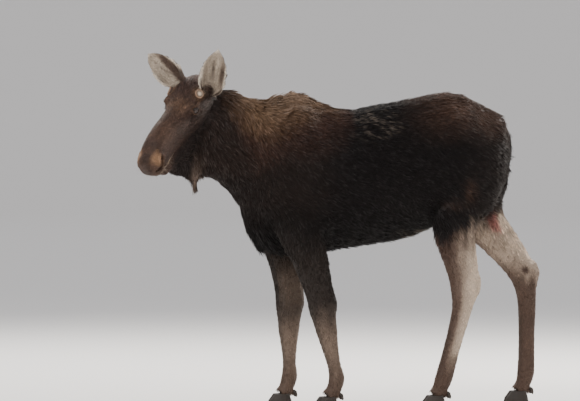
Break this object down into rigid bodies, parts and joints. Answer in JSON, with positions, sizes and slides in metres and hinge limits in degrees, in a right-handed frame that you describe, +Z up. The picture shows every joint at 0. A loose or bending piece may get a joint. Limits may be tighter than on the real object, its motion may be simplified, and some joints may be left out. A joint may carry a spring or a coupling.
{
  "type": "moose",
  "caption": "Standing bull moose in winter coat with its antlers shed, walking with its head turned to its left.",
  "frame": {"origin": "on the ground, below the middle of the animal's bounding box", "axes": "the moose faces -Y along its body, its left side is +X, and +Z is up"},
  "size_m": [0.7338, 2.4644, 2.0769],
  "materials": {
    "coat": "dark winter coat, matt",
    "neck": "grizzled long coat, matt",
    "face": "short warm brown coat, matt",
    "leg": "short grey-tan coat, matt",
    "ear": "short pale coat, matt",
    "bell": "long hair, matt",
    "hoof": "dull dark horn",
    "eye": "wet and glossy",
    "pedicle": "dry pale bone and scab"
  },
  "bodies": {
    "root": {"bell": "bell", "ear_left": "ear", "ear_right": "ear", "eye_left": "eye", "eye_right": "eye", "foreleg_left_dewclaw_inner": "hoof", "foreleg_left_dewclaw_outer": "hoof", "foreleg_left_foot": "leg", "foreleg_left_hoof_inner": "hoof", "foreleg_left_hoof_outer": "hoof", "foreleg_left_lower": "leg", "foreleg_left_upper": "coat", "foreleg_right_dewclaw_inner": "hoof", "foreleg_right_dewclaw_outer": "hoof", "foreleg_right_foot": "leg", "foreleg_right_hoof_inner": "hoof", "foreleg_right_hoof_outer": "hoof", "foreleg_right_lower": "leg", "foreleg_right_upper": "coat", "head": "face", "hindleg_left_dewclaw_inner": "hoof", "hindleg_left_dewclaw_outer": "hoof", "hindleg_left_foot": "leg", "hindleg_left_hoof_inner": "hoof", "hindleg_left_hoof_outer": "hoof", "hindleg_left_lower": "leg", "hindleg_left_upper": "coat", "hindleg_right_dewclaw_inner": "hoof", "hindleg_right_dewclaw_outer": "hoof", "hindleg_right_foot": "leg", "hindleg_right_hoof_inner": "hoof", "hindleg_right_hoof_outer": "hoof", "hindleg_right_lower": "leg", "hindleg_right_upper": "coat", "lower_jaw": "face", "neck": "neck", "pedicle_left": "pedicle", "pedicle_right": "pedicle", "tail": "coat", "trunk": "coat"}
  },
  "joints": []
}
